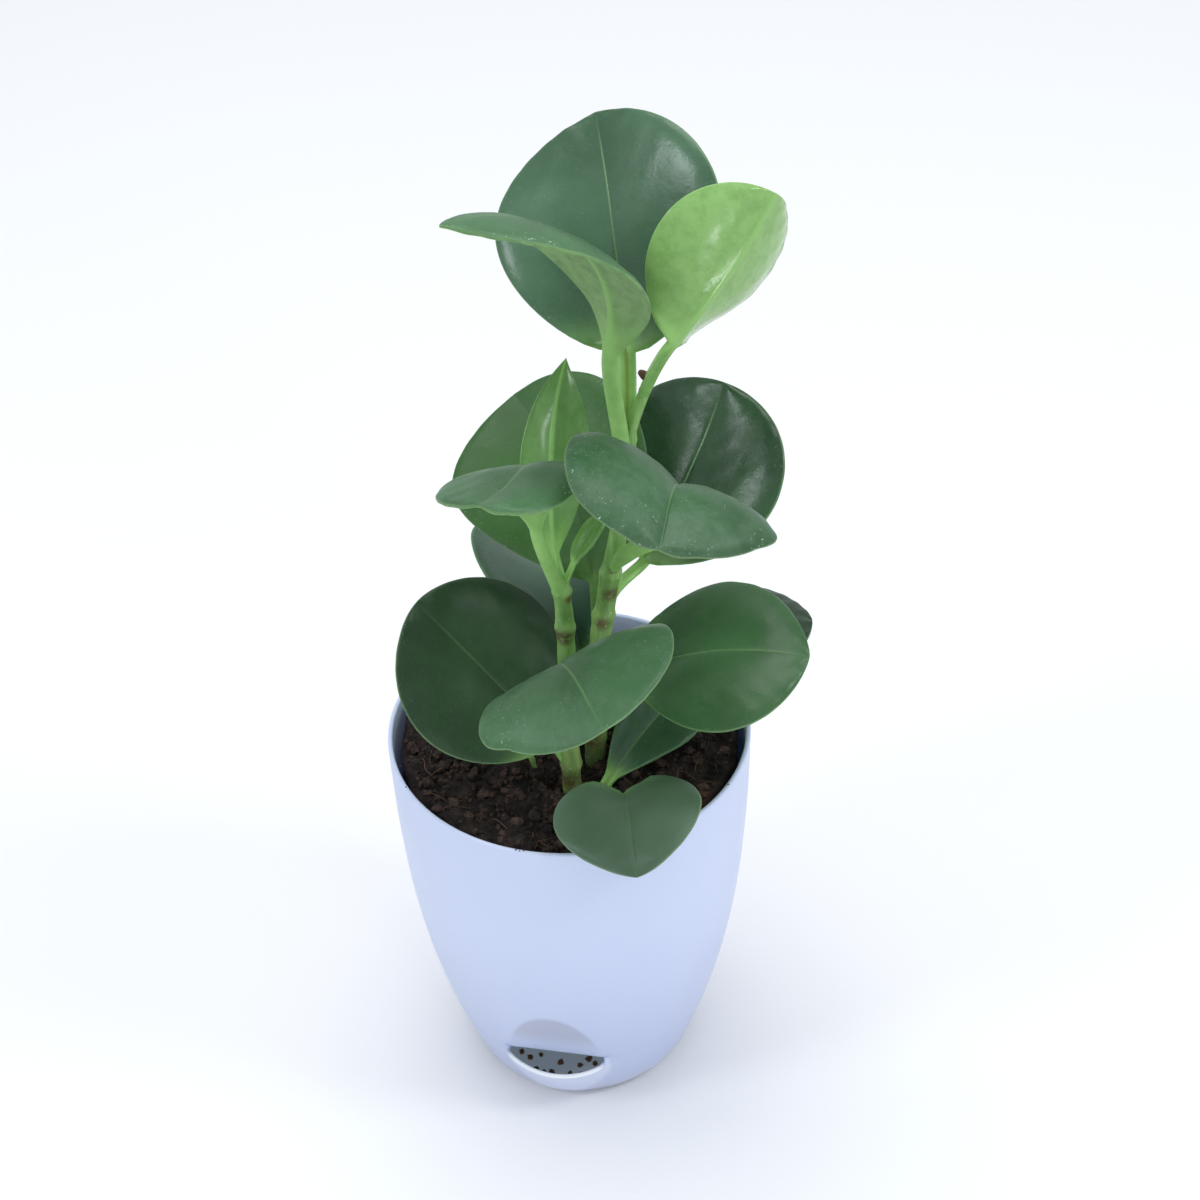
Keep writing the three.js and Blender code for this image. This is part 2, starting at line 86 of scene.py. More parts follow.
# a grid primitive with its points set out over a form: place(column, row) gives a point in mm
# and the values of the point attributes named in marks; faces that leftOut names are deleted
def shapeGrid(name, columns, rows, place, marks=(), leftOut=None):
    deselect()
    bpy.ops.mesh.primitive_grid_add(x_subdivisions=columns, y_subdivisions=rows, size=2)
    piece = named(name)
    gone = []
    for face in piece.data.polygons:
        column, row = (int((way + 1) / 2 * count) for way, count in zip(face.center, (columns, rows)))
        if leftOut and leftOut(column, row):
            gone.append(face.index)
    for mark in marks:
        piece.data.attributes.new(mark, "FLOAT", "POINT")
    stored = [piece.data.attributes[mark] for mark in marks]
    for vertex in piece.data.vertices:
        column = round((vertex.co.x + 1) / 2 * columns)
        row = round((vertex.co.y + 1) / 2 * rows)
        point, values = place(column, row)
        vertex.co = Vector(point) * mm
        for attribute, value in zip(stored, values):
            attribute.data[vertex.index].value = value
    setMode("EDIT")
    bpy.ops.mesh.select_mode(type="FACE")
    bpy.ops.mesh.select_all(action="DESELECT")
    setMode("OBJECT")
    for index in gone:
        piece.data.polygons[index].select = True
    setMode("EDIT")
    bpy.ops.mesh.delete(type="FACE")
    bpy.ops.mesh.select_mode(type="VERT")
    bpy.ops.mesh.select_all(action="SELECT")
    bpy.ops.mesh.remove_doubles(threshold=mergeGap * mm)
    leaveEdit()
    bpy.ops.object.shade_smooth()
    return piece


# a filled circle in edit mode, to be drawn up
def startCircle(name, sides, radius, centre):
    deselect()
    bpy.ops.mesh.primitive_circle_add(vertices=sides, radius=radius * mm, fill_type="NGON",
                                      location=centre * mm)
    piece = named(name)
    bpy.ops.object.transform_apply()
    editAll()
    return piece


# a bar drawn up ring by ring: centres and radii in mm, from below up
def growBar(name, centres, radii, sides):
    piece = startCircle(name, sides, radii[0], centres[0])
    for below, centre, before, radius in zip(centres, centres[1:], radii, radii[1:]):
        bpy.ops.mesh.extrude_region_move(TRANSFORM_OT_translate={"value": (centre - below) * mm})
        wider = radius / before
        bpy.ops.transform.resize(value=(wider, wider, 1), center_override=centre * mm)
    leaveEdit()
    bpy.ops.object.shade_smooth_by_angle(angle=math.radians(60))
    return piece


def setMarks(piece, marks):
    for mark, valueAt in marks.items():
        stored = piece.data.attributes.new(mark, "FLOAT", "POINT")
        for vertex in piece.data.vertices:
            stored.data[vertex.index].value = valueAt(vertex.co / mm)


def cloudsOf(name, size):
    clouds = bpy.data.textures.new(name, "CLOUDS")
    clouds.noise_scale = size * mm
    return clouds


def applyModifier(piece, kind, **settings):
    deselect()
    bpy.context.view_layer.objects.active = piece
    piece.select_set(True)
    modifier = piece.modifiers.new(kind.title(), kind)
    for key, value in settings.items():
        setattr(modifier, key, value)
    bpy.ops.object.modifier_apply(modifier=modifier.name)


# which model stands where, how it is turned and its size
def placing(which, place, turn, size):
    return which, Matrix.Translation(Vector(place) * mm) @ turn @ Matrix.Scale(size, 4)


# copies of small models, each with its own mesh, put in their places and joined into one piece;
# the models go
def scatter(name, models, placings):
    copies = []
    for which, matrix in placings:
        copy = models[which].copy()
        copy.data = models[which].data.copy()
        copy.data.transform(matrix)
        bpy.context.collection.objects.link(copy)
        copies.append(copy)
    deselect()
    for copy in copies:
        copy.select_set(True)
    bpy.context.view_layer.objects.active = copies[0]
    bpy.ops.object.join()
    for model in models:
        bpy.data.objects.remove(model)
    return named(name)


def finishPiece(piece, material, nodes=()):
    piece.data.materials.clear()
    piece.data.materials.append(material)
    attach(piece, "root")
    if nodes:
        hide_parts(*nodes)


# ---- material helpers ----

def newMaterial(name, values):
    material = bpy.data.materials.new(name)
    material.use_nodes = True
    for key, value in values.items():
        material.node_tree.nodes["Principled BSDF"].inputs[key].default_value = value
    return material


def objectPlace(material):
    return material.node_tree.nodes.new("ShaderNodeTexCoord").outputs["Object"]


def pointMark(material, mark):
    made = material.node_tree.nodes.new("ShaderNodeAttribute")
    made.attribute_name = mark
    return made.outputs["Fac"]


# a node in the same material as the sockets that feed it
def addNode(kind, inputs, output, **settings):
    tree = next(value.id_data for value in inputs.values() if isinstance(value, bpy.types.NodeSocket))
    made = tree.nodes.new(kind)
    for key, value in settings.items():
        setattr(made, key, value)
    for key, value in inputs.items():
        if isinstance(value, bpy.types.NodeSocket):
            tree.links.new(value, made.inputs[key])
        else:
            made.inputs[key].default_value = value
    return made.outputs[output]


def noiseOf(place, scale, detail=3, roughness=0.55):
    return addNode("ShaderNodeTexNoise", {
        "Vector": place, "Scale": scale, "Detail": detail, "Roughness": roughness}, "Fac")


def maths(operation, first, second):
    return addNode("ShaderNodeMath", {0: first, 1: second}, 0, operation=operation)


# start to end as the value goes from low to high
def fade(value, low, high, start=0, end=1):
    return addNode("ShaderNodeMapRange", {
        "Value": value, "From Min": low, "From Max": high, "To Min": start, "To Max": end},
        "Result", interpolation_type="SMOOTHSTEP")


# patches of a noise, faded in the same way
def patches(place, scale, low, high, start=0, end=1, **values):
    return fade(noiseOf(place, scale, **values), low, high, start, end)


def blend(share, first, second):
    return addNode("ShaderNodeMix", {0: share, 6: first, 7: second}, 2, data_type="RGBA")


def bumpOf(height, distance, strength):
    return addNode("ShaderNodeBump", {"Height": height, "Distance": distance, "Strength": strength}, "Normal")


# feeds an input of the main shader
def join(source, socket):
    tree = source.id_data
    tree.links.new(source, tree.nodes["Principled BSDF"].inputs[socket])


# the colour of an sRGB triple of 0 to 255, as the shaders read it
def paint(red, green, blue):
    def linear(value):
        value /= 255
        return value / 12.92 if value <= 0.04045 else ((value + 0.055) / 1.055) ** 2.4
    return (linear(red), linear(green), linear(blue), 1)


# ---- camera, lights, floor ----

view = {
    "target": (11.05, 2.35, 187.1),
    "distance": 850,
    "azimuth": 12,
    "elevation": 39.88,
    "roll": 2.2,
    "lens": 83.68,
}


def addCamera():
    azimuth, elevation = math.radians(view["azimuth"]), math.radians(view["elevation"])
    roll = math.radians(view["roll"])
    back = Vector((math.sin(azimuth) * math.cos(elevation),
                   -math.cos(azimuth) * math.cos(elevation), math.sin(elevation)))
    level = Vector((math.cos(azimuth), math.sin(azimuth), 0))
    upright = back.cross(level)
    right = level * math.cos(roll) - upright * math.sin(roll)
    up = level * math.sin(roll) + upright * math.cos(roll)
    bpy.ops.object.camera_add()
    camera = bpy.context.object
    camera.name = "photoCamera"
    camera.data.lens = view["lens"]
    camera.data.sensor_width = 36
    place = (Vector(view["target"]) + back * view["distance"]) * mm
    camera.matrix_world = Matrix.Translation(place) @ Matrix((right, up, back)).transposed().to_4x4()
    camera.data.clip_start, camera.data.clip_end = 0.05, 20
    bpy.context.scene.camera = camera


lights = {
    # name: place, aimed at (both in metres), size, watts, colour
    "overhead": ((-0.1, 0.2, 1.9), (0, 0, 0.1), 1.4, 15, (1, 1, 1)),
    "leftPanel": ((-0.92, -0.77, 1.19), (0, 0, 0.2), 0.4, 3.8, (0.9, 0.95, 1)),
    "rightPanel": ((1.04, -0.15, 1.3), (0, 0, 0.2), 0.4, 4.4, (0.92, 0.96, 1)),
    "lowPanel": ((1.0, -1.22, 0.36), (0, 0, 0.24), 0.3, 2.2, (0.96, 0.98, 1)),
}
studio = {"colour": (0.92, 0.96, 1, 1), "strength": 0.6}


def addLights():
    for name, (place, target, size, watts, colour) in lights.items():
        bpy.ops.object.light_add(type="AREA", location=place)
        lamp = bpy.context.object
        lamp.name = name
        lamp.data.shape = "DISK"
        lamp.data.size = size
        lamp.data.energy = watts
        lamp.data.color = colour
        lamp.rotation_euler = (Vector(place) - Vector(target)).to_track_quat("Z", "Y").to_euler()
    world = bpy.data.worlds.new("studio")
    bpy.context.scene.world = world
    world.use_nodes = True
    background = world.node_tree.nodes["Background"]
    background.inputs["Color"].default_value = studio["colour"]
    background.inputs["Strength"].default_value = studio["strength"]
    bpy.context.scene.view_settings.view_transform = "Standard"


def addFloor():
    bpy.ops.mesh.primitive_plane_add(size=12, location=(0, 0, -0.0002))
    floor = bpy.context.object
    floor.name = "studioFloor"
    pale = newMaterial("paleFloor", {"Roughness": 0.9, "Base Color": (0.93, 0.93, 0.94, 1)})
    floor.data.materials.append(pale)


deselect()
addCamera()
addLights()
addFloor()
print("camera, lights and floor")


# ---- materials ----

# marks on the pot's front that paint light and shade: painted shade in the sunken face, painted light on the
# pouch and a painted highlight along the lip's crest; from which value they tell, how much, and their colour
mouthLightAndShade = (
    ("sunken", 0.05, 0.8, paint(168, 174, 194)),
    ("pouch", 0, 0.7, paint(214, 221, 245)),
    ("crest", 0.2, 0.9, paint(246, 250, 255)),
)


def mouldedPlastic():
    material = newMaterial("satinWhitePlastic", {
        "IOR": 1.48, "Subsurface Weight": 0.1, "Subsurface Scale": 0.003,
        "Subsurface Radius": (0.8, 0.85, 1), "Emission Strength": 1})
    place = objectPlace(material)
    height = addNode("ShaderNodeSeparateXYZ", {0: place}, "Z")
    cloudy = noiseOf(place, 14, detail=2)
    # painted shade: the plastic is coloured lighter at the top and darker towards the foot, where the walls
    # face down
    upper = blend(cloudy, paint(210, 220, 248), paint(204, 215, 245))
    lower = blend(cloudy, paint(193, 203, 232), paint(188, 198, 228))
    colour = blend(fade(height, 0.012, 0.1), lower, upper)
    warm = fade(height, 0.001, 0.012, 0.6, 0)
    colour = blend(warm, colour, paint(200, 202, 212))
    # painted shade, painted light and a painted highlight on the mouth, blended over the plastic's colour
    for mark, low, share, paintedTone in mouthLightAndShade:
        told = fade(pointMark(material, mark), low, 1, 0, share)
        colour = blend(told, colour, paintedTone)
    join(colour, "Base Color")
    fine = noiseOf(place, 1800, detail=2)
    join(patches(place, 60, 0.3, 0.7, 0.36, 0.46), "Roughness")
    join(bumpOf(fine, 0.00004, 0.35), "Normal")
    # light that comes through the thin wall into the reservoir
    inside = fade(pointMark(material, "inside"), 0.2, 1)
    glow = blend(inside, (0, 0, 0, 1), (0.08, 0.1, 0.11, 1))
    join(glow, "Emission Color")
    return material


def platePlastic():
    material = newMaterial("greyPlatePlastic", {"Roughness": 0.55})
    place = objectPlace(material)
    join(blend(noiseOf(place, 40), paint(128, 136, 142), paint(108, 116, 122)), "Base Color")
    join(bumpOf(noiseOf(place, 900), 0.00006, 0.4), "Normal")
    return material


# soil: dark crumbly mix, reddish brown in places
def earthMaterial(name, dark, light, reddish):
    material = newMaterial(name, {"Roughness": 0.9, "Specular IOR Level": 0.2})
    place = objectPlace(material)
    clumps = patches(place, 160, 0.38, 0.68, detail=6, roughness=0.75)
    base = blend(clumps, dark, light)
    warm = patches(place, 60, 0.55, 0.72, 0, 0.8, detail=4)
    join(blend(warm, base, reddish), "Base Color")
    fine = noiseOf(place, 800, detail=6, roughness=0.75)
    join(bumpOf(fine, 0.0006, 0.8), "Normal")
    return material


stalkGreen = paint(148, 198, 112)

# what a leaf's finish is unless it says otherwise: matte is added to the roughness below, line is
# the strength of the rib's line, brown that of the line in the stalk's groove, foot the share of
# stalk green at the foot of the blade
usualFinish = {"matte": 0.16, "dust": 0.15, "line": 0.5, "brown": 0, "foot": 0.85, "ribWidth": 1.6,
               "index": 1.45, "under": paint(128, 166, 104), "stalk": stalkGreen}
# dark and light are the two greens of the upper side, and gloss is its roughness
leafFinishes = {
    "topLeaf": dict(dark=paint(58, 92, 66), light=paint(78, 114, 86), gloss=0.24,
        under=paint(122, 162, 104), dust=0.2, brown=0.6),
    "glossyLeaf": dict(dark=paint(38, 66, 42), light=paint(54, 88, 56), gloss=0.24,
        under=paint(122, 162, 104), line=0.4),
    "deepLeaf": dict(dark=paint(36, 60, 38), light=paint(50, 80, 50), gloss=0.34,
        under=paint(112, 150, 96), line=0.25, index=1.34),
    "shadedLeaf": dict(dark=paint(36, 74, 50), light=paint(52, 94, 66), gloss=0.3,
        under=paint(104, 142, 92), dust=0.1, line=0.2),
    # the leaf at the back gets a darker stalk colour: painted shade on its stalk
    "softLeaf": dict(dark=paint(54, 94, 46), light=paint(70, 112, 58), gloss=0.4,
        under=paint(96, 126, 84), dust=0.3, line=0.25, foot=0.15, index=1.34, stalk=paint(92, 126, 72)),
    "paleLeaf": dict(dark=paint(72, 100, 76), light=paint(90, 118, 94), gloss=0.42,
        under=paint(128, 156, 112), dust=0, line=0.25),
    "broadLeaf": dict(dark=paint(48, 86, 52), light=paint(60, 102, 64), gloss=0.44,
        under=paint(128, 162, 104), dust=1),
    "dustyLeaf": dict(dark=paint(58, 98, 60), light=paint(74, 118, 76), gloss=0.44, dust=0.8, line=0.45),
    "freshLeaf": dict(dark=paint(52, 92, 52), light=paint(70, 114, 68), gloss=0.32,
        under=paint(134, 172, 108), dust=0.2, line=0.3),
    "youngLeaf": dict(dark=paint(98, 146, 66), light=paint(126, 174, 90), gloss=0.17,
        under=paint(142, 186, 110), matte=0, dust=0.05),
    "slimLeaf": dict(dark=paint(82, 126, 60), light=paint(104, 150, 78), gloss=0.24,
        under=paint(106, 150, 84), matte=0, dust=0.1, ribWidth=0.6),
}


def leafMaterial(name):
    finish = usualFinish | leafFinishes[name]
    dark, under, gloss, dust = (finish[key] for key in ("dark", "under", "gloss", "dust"))
    material = newMaterial(name, {"Subsurface Weight": 0.1, "Subsurface Scale": 0.002,
                                  "Subsurface Radius": (0.5, 1, 0.25), "IOR": finish["index"]})
    place = objectPlace(material)
    rib, margin, along = (pointMark(material, mark) for mark in ("rib", "margin", "along"))
    upper, stalkShare = pointMark(material, "upper"), pointMark(material, "stalk")
    top = blend(patches(place, 26, 0.3, 0.7, detail=2), dark, finish["light"])
    ribLine = maths("MULTIPLY", fade(rib, 0.1, 0.55, finish["line"], 0), fade(along, 0.7, 1, 1, 0.2))
    top = blend(ribLine, top, under)
    # a thin whitish bloom, partly dust and partly painted sheen, and specks of lime dust on what faces up
    bloomAndSheen = patches(place, 220, 0.3, 0.8, 0, 0.16 * dust, detail=6, roughness=0.7)
    top = blend(bloomAndSheen, top, paint(150, 176, 156))
    specks = maths("MULTIPLY", patches(place, 1100, 0.64, 0.7, detail=2, roughness=0.6),
                   patches(place, 90, 0.38, 0.6, 0, dust, detail=2))
    specks = maths("MULTIPLY", specks, fade(margin, 0.5, 6, 1, 0.35))
    top = blend(specks, top, paint(180, 208, 190))
    # the underside: mottled, with a pale rib
    mottle = patches(place, 240, 0.35, 0.7, 0, 0.4, detail=4, roughness=0.65)
    bottom = blend(mottle, under, dark)
    ribBelow = fade(rib, 0.2, finish["ribWidth"], 0.6, 0)
    bottom = blend(ribBelow, bottom, stalkGreen)
    colour = blend(upper, bottom, top)
    edge = fade(margin, 0.2, 0.7, 0.4, 0)
    colour = blend(edge, colour, under)
    foot = maths("MULTIPLY", fade(along, 0, 0.16, finish["foot"], 0), fade(rib, 1, 5, 1, 0))
    colour = blend(foot, colour, stalkGreen)
    streaks = patches(place, 260, 0.35, 0.7, 0, 0.35, detail=2)
    stalkColour = blend(streaks, finish["stalk"], paint(118, 168, 86))
    groove = maths("MULTIPLY", fade(rib, 0.1, 1, finish["brown"], 0), upper)
    stalkColour = blend(groove, stalkColour, paint(128, 122, 62))
    colour = blend(stalkShare, colour, stalkColour)
    join(colour, "Base Color")
    shine = patches(place, 110, 0.3, 0.75, gloss - 0.04, gloss + 0.08, detail=4)
    dull = maths("MULTIPLY", maths("SUBTRACT", 1, upper), finish["matte"])
    join(maths("ADD", shine, dull), "Roughness")
    skin = noiseOf(place, 300, detail=4, roughness=0.6)
    join(bumpOf(skin, 0.0002, 0.45), "Normal")
    return material


def stemMaterial():
    material = newMaterial("greenStem", {
        "Roughness": 0.48, "Subsurface Weight": 0.08, "Subsurface Scale": 0.002})
    place = objectPlace(material)
    scar, rise = pointMark(material, "scar"), pointMark(material, "rise")
    stretched = addNode("ShaderNodeMapping", {"Vector": place, "Scale": (1, 1, 0.22)}, 0)
    streaks = patches(stretched, 420, 0.32, 0.68, detail=4)
    green = blend(streaks, paint(112, 158, 82), paint(146, 192, 108))
    older = blend(streaks, paint(102, 134, 72), paint(140, 164, 98))
    colour = blend(fade(rise, 0.25, 0.6), older, green)
    woody = fade(rise, 0.06, 0.2, 0.8, 0)
    colour = blend(woody, colour, paint(86, 80, 62))
    blotch = maths("MULTIPLY", scar, patches(place, 380, 0.3, 0.5, detail=4))
    colour = blend(blotch, colour, paint(98, 92, 54))
    flecks = patches(place, 900, 0.66, 0.72, 0, 0.6, detail=2)
    colour = blend(flecks, colour, paint(196, 204, 170))
    join(colour, "Base Color")
    rough = noiseOf(stretched, 700, detail=5, roughness=0.65)
    join(bumpOf(rough, 0.0004, 0.5), "Normal")
    return material


def dryMaterial():
    material = newMaterial("dryScale", {"Roughness": 0.8})
    grain = noiseOf(objectPlace(material), 600)
    join(blend(grain, paint(72, 48, 38), paint(118, 86, 66)), "Base Color")
    return material


whitePlastic, greyPlastic = mouldedPlastic(), platePlastic()
earth = earthMaterial("pottingSoil", paint(28, 25, 26), paint(62, 52, 48), paint(80, 58, 48))
crumbEarth = earthMaterial("soilCrumb", paint(30, 26, 27), paint(92, 74, 66), paint(100, 70, 56))
brownEarth = earthMaterial("brownCrumb", paint(96, 70, 54), paint(160, 120, 92), paint(160, 108, 76))
leafSkins = {name: leafMaterial(name) for name in leafFinishes}
stemSkin, drySkin = stemMaterial(), dryMaterial()
print("materials")


# ---- pot ----

pot = {
    "profile": ((0, 35.6), (33.9, 46.3), (67.75, 52.9), (101.6, 56.2), (135.5, 57.5)),
    "tuck": (2.2, 1),      # how far the profile turns inwards beyond the foot and the rim
    "height": 135.5,
    "floor": 2.5,
    "footRound": 3.2,
    "wall": 2,
    "rimWall": 1.5,
    "sill": 27.8,          # lower edge of the sunken face
    "sillRound": 0.5,
    "faceDistance": 41.9,
    "lean": 19,
    "faceTop": 58,
    "lipWall": 1.6,
    "lipRadius": 24.5,
    "lipCentre": (11.1, 0.559),     # at the foot, and its shift for each mm of height
    "lipFront": (48, 22.2),        # distance and height of the lip's front edge
    "lipCorner": (41.4, 27.2),
    "corner": 20.8,        # half the angle that the mouth spans
    "lipEnd": 24.2,
    "frontHalf": 70,       # beyond this angle the wall is plain
    "lipRise": 2.2,        # how steeply the lip's edge starts from the slot's corners
    "blend": 0.3,
    "bottomRings": (0, 18, 30),
    "floorRings": (24, 12, 0),
    "aboveSill": 0.9,
    "thinFrom": 118,       # the wall thins towards the rim from this height
}
# steps of the wall's rows and of the columns round it
potSteps = {
    "foot": 4, "lower": 26, "crest": 6, "inner": 20, "face": 44, "upper": 22, "rim": 8, "inside": 34,
    "slot": 48, "lipEnd": 6, "beside": 10, "behind": 48,
}
besideMouth = 35
# where the marks on the pot's front come in: depths, heights and, for the mouth's ends, degrees
markFades = {
    "sunken": (0, 0.3), "higher": (pot["sill"], 46), "pouch": (0.2, 1.5), "crest": (1.9, 0.5),
    "ends": (pot["corner"] + 0.5, pot["corner"] - 2.5),
}
# shares of the way through the wall, closer together at its edges
through = (0, 0.04, 0.12, 0.25, 0.5, 0.75, 0.88, 0.96, 1)


# radius of the outside at a height, by a cubic through the profile's points
def potRadius(height):
    knots = pot["profile"]
    last = len(knots) - 1
    span = min(last - 1, max(0, int(height / (pot["height"] / last))))
    spots = [knots[min(last, max(0, span + shift))] for shift in (-1, 0, 1, 2)]
    if span == 0:
        spots[0] = (-knots[1][0], 2 * knots[0][1] - knots[1][1] - pot["tuck"][0])
    if span == last - 1:
        (low, inner), (high, outer) = knots[-2:]
        spots[3] = (2 * high - low, 2 * outer - inner - pot["tuck"][1])
    share = (height - spots[1][0]) / (spots[2][0] - spots[1][0])
    return cubic(*(radius for _, radius in spots), share)


# the smaller of two distances, rounded where they meet
def softest(first, second):
    round = pot["blend"]
    return -round * math.log(math.exp(-first / round) + math.exp(-second / round))


# outside above the slot, where the face is sunken
def highRadius(degrees, height):
    wall = potRadius(height)
    if abs(degrees) > pot["frontHalf"]:
        return wall
    face = pot["faceDistance"] + math.tan(math.radians(pot["lean"])) * (height - pot["sill"])
    return softest(wall, face / math.cos(math.radians(degrees)))


# outside below the slot, where the pouch bulges
def lowRadius(degrees, height):
    wall = potRadius(height)
    if abs(degrees) > pot["frontHalf"]:
        return wall
    angle = math.radians(degrees)
    centre = pot["lipCentre"][0] + pot["lipCentre"][1] * height
    depth = math.sqrt(max(0, pot["lipRadius"] ** 2 - (centre * math.sin(angle)) ** 2))
    bulge = -softest(-wall, -centre * math.cos(angle) - depth) - wall
    beside = smooth(pot["corner"], pot["lipEnd"], abs(degrees))
    return wall + bulge * (1 - beside * smooth(pot["sill"] - 6, pot["sill"] - 1, height))


# height of the lip's edge, which dips from the corners of the slot to the front
def lipHeight(degrees):
    (front, low), (corner, high) = pot["lipFront"], pot["lipCorner"]
    height = low
    for _ in range(20):
        distance = lowRadius(degrees, height) * math.cos(math.radians(degrees))
        height = high - (high - low) * (distance - corner) / (front - corner)
    inner = pot["lipRise"] * math.sqrt(max(0, 1 - (degrees / pot["corner"]) ** 2))
    return mixed(pot["sill"], min(height, pot["sill"]), min(1, inner))


def spacing(start, end, steps):
    return [start + (end - start) * step / steps for step in range(steps + 1)]


# the wall's section at an angle, as rows of radius, height and whether it's inside: round the
# foot, up to the lip, over it and down to the floor, then from the sill's inner edge outwards,
# up to the rim, over it and down again
def potSection(degrees):
    slot = abs(degrees) < pot["corner"] - 0.001
    sill, wall, foot = pot["sill"], pot["wall"], pot["footRound"]
    top = lipHeight(degrees) if slot else sill
    half = pot["lipWall"] / 2
    shoulder = top - half
    thick = mixed(pot["lipWall"], wall, smooth(pot["corner"], pot["lipEnd"], abs(degrees)))
    rows = [(radius, 0, 0) for radius in pot["bottomRings"]]
    for turn in spacing(0, math.pi / 2, potSteps["foot"]):
        rows.append((lowRadius(degrees, 0) - foot * (1 - math.sin(turn)), foot * (1 - math.cos(turn)), 0))
    for height in spacing(foot, shoulder, potSteps["lower"])[1:]:
        rows.append((lowRadius(degrees, height), height, 0))
    outer = lowRadius(degrees, shoulder)
    sillOuter = highRadius(degrees, sill)
    crest = outer - half if slot else sillOuter
    for turn in spacing(0, math.pi / 2, potSteps["crest"])[1:]:
        inwards = (outer - crest) * (1 - math.cos(turn))
        rows.append((outer - inwards, shoulder + half * math.sin(turn), 0))
    crossing = len(rows) - 1
    for share in through[1:]:
        turn = math.pi / 2 * share
        if slot:
            rows.append((crest - half * math.sin(turn), top - half * (1 - math.cos(turn)), 0))
        else:
            rows.append((sillOuter - wall * share, sill, 0))
    base = pot["floor"] + foot
    for height in spacing(shoulder, base, potSteps["inner"])[1:]:
        rows.append((lowRadius(degrees, height) - thick, height, 1))
    inner = lowRadius(degrees, base) - thick - foot
    for turn in spacing(0, math.pi / 2, potSteps["foot"])[1:]:
        rows.append((inner + foot * math.cos(turn), base - foot * math.sin(turn), 1))
    rows += [(radius, pot["floor"], 1) for radius in pot["floorRings"]]
    below = len(rows)
    round = pot["sillRound"] * min(1, 4 * max(0, 1 - abs(degrees) / pot["corner"]))
    for share in through:
        edge = max(0, round - min(share, 1 - share) * wall)
        rows.append((sillOuter - wall * (1 - share), sill + round - math.sqrt(round ** 2 - edge ** 2), 0))
    rimHalf = pot["rimWall"] / 2
    last = pot["height"] - rimHalf
    heights = spacing(sill + pot["aboveSill"], pot["faceTop"], potSteps["face"])
    for height in heights + spacing(pot["faceTop"], last, potSteps["upper"])[1:]:
        rows.append((highRadius(degrees, height), height, 0))
    middle = highRadius(degrees, last) - rimHalf
    for turn in spacing(0, math.pi, potSteps["rim"])[1:]:
        rows.append((middle + rimHalf * math.cos(turn), last + rimHalf * math.sin(turn), 0))
    for height in spacing(last, sill, potSteps["inside"])[1:-1]:
        thin = mixed(wall, pot["rimWall"], smooth(pot["thinFrom"], last, height))
        rows.append((highRadius(degrees, height) - thin, height, 0))
    rows.append(rows[below])
    return rows, crossing, below


def addPot():
    right = ([pot["corner"] * math.sin(turn) for turn in spacing(0, math.pi / 2, potSteps["slot"])]
             + spacing(pot["corner"], pot["lipEnd"], potSteps["lipEnd"])[1:]
             + spacing(pot["lipEnd"], besideMouth, potSteps["beside"])[1:]
             + spacing(besideMouth, 180, potSteps["behind"])[1:])
    angles = [-angle for angle in reversed(right[1:])] + right
    sections = [potSection(angle) for angle in angles]
    crossing, below = sections[0][1:]

    def place(column, row):
        radius, height, inside = sections[column][0][row]
        degrees, away = angles[column], abs(angles[column])
        angle = math.radians(degrees)
        sunken = pouch = crest = 0
        ends = smooth(*markFades["ends"], away)
        # the sunken mark, weaker near the sill, carries painted shade on the face; the pouch mark carries
        # painted light and the crest mark a painted highlight along the lip
        if row > below and height < pot["faceTop"]:
            sunken = smooth(*markFades["sunken"], potRadius(height) - radius)
            sunken *= mixed(0.1, 1, smooth(*markFades["higher"], height))
        if away < pot["lipEnd"] and row < crossing:
            pouch = smooth(*markFades["pouch"], lowRadius(degrees, height) - potRadius(height))
            edge = lipHeight(degrees) if away < pot["corner"] else pot["sill"]
            crest = smooth(*markFades["crest"], edge - height) * ends
        elif away < pot["corner"] and row < crossing + len(through):
            crest = ends
        return (radius * math.sin(angle), -radius * math.cos(angle), height), (inside, sunken, pouch, crest)

    # the two bands of rows hang together at the wall, but not at the slot
    def leftOut(column, row):
        if row == below - 1:
            return True
        slot = max(abs(angles[column]), abs(angles[column + 1])) < pot["corner"] + 0.001
        span = len(through) - 1
        return not slot and (crossing <= row < crossing + span or below <= row < below + span)

    piece = shapeGrid("potShell", len(angles) - 1, len(sections[0][0]) - 1, place,
                      ("inside", "sunken", "pouch", "crest"), leftOut)
    bpy.ops.object.shade_smooth_by_angle(angle=math.radians(45))
    return piece


finishPiece(addPot(), whitePlastic, ["pot"])
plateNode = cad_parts["drain_plate"]
plateNode.data.materials.clear()
plateNode.data.materials.append(greyPlastic)
print("pot")


# ---- stems ----

